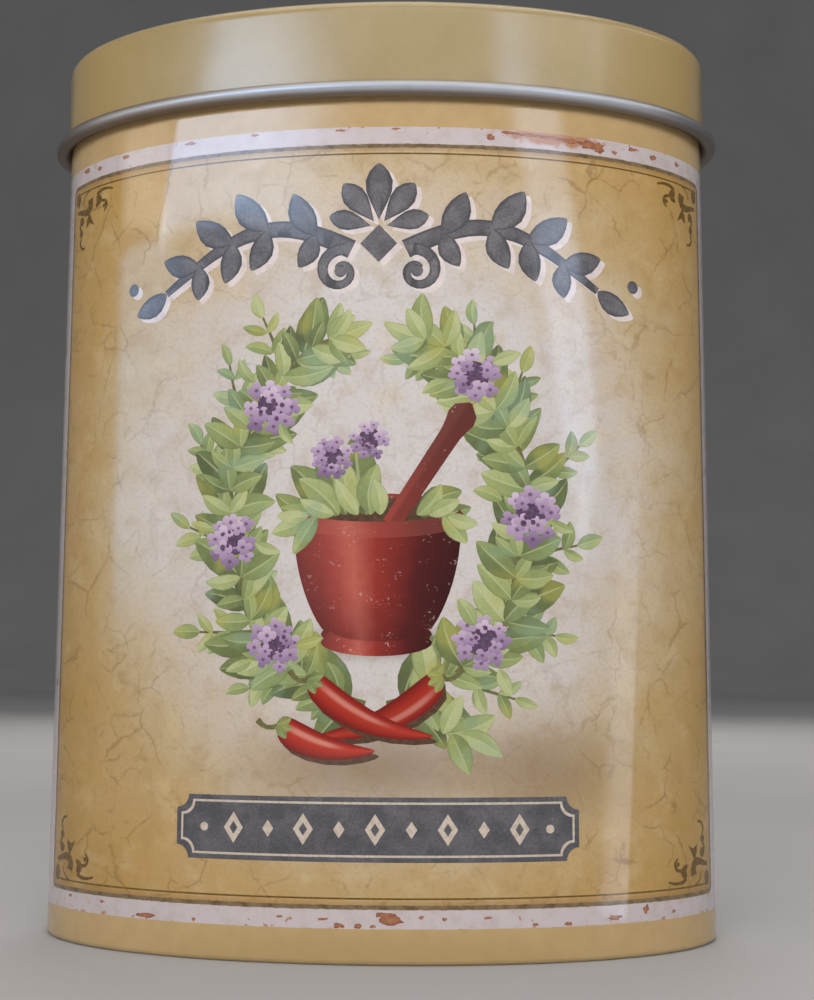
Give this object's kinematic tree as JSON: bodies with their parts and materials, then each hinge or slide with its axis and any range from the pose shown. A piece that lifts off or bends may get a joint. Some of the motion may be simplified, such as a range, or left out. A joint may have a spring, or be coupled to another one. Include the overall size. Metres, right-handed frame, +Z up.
{
  "type": "oval slip-lid storage tin",
  "caption": "Oval tinplate storage tin with a printed wall, a curled rim under a loose slip lid, a bare outward bead on the lid and a recessed bottom end.",
  "frame": {"origin": "middle of the tin, on the surface that it stands on", "axes": "+Z up, X along the wide printed faces, Y through the tin's depth with the front towards -Y"},
  "size_m": [0.088, 0.048, 0.1135],
  "materials": {
    "printed_tinplate": "glossy lacquer over printed ochre, cream and olive inks",
    "gold_enamelled_tinplate": "satin gold enamel, with a bare tinplate bead",
    "bare_tinplate": "bright rolled tinplate"
  },
  "bodies": {
    "root": {"body_wall": "printed_tinplate", "bottom_end": "bare_tinplate", "lid": "gold_enamelled_tinplate"}
  },
  "joints": []
}
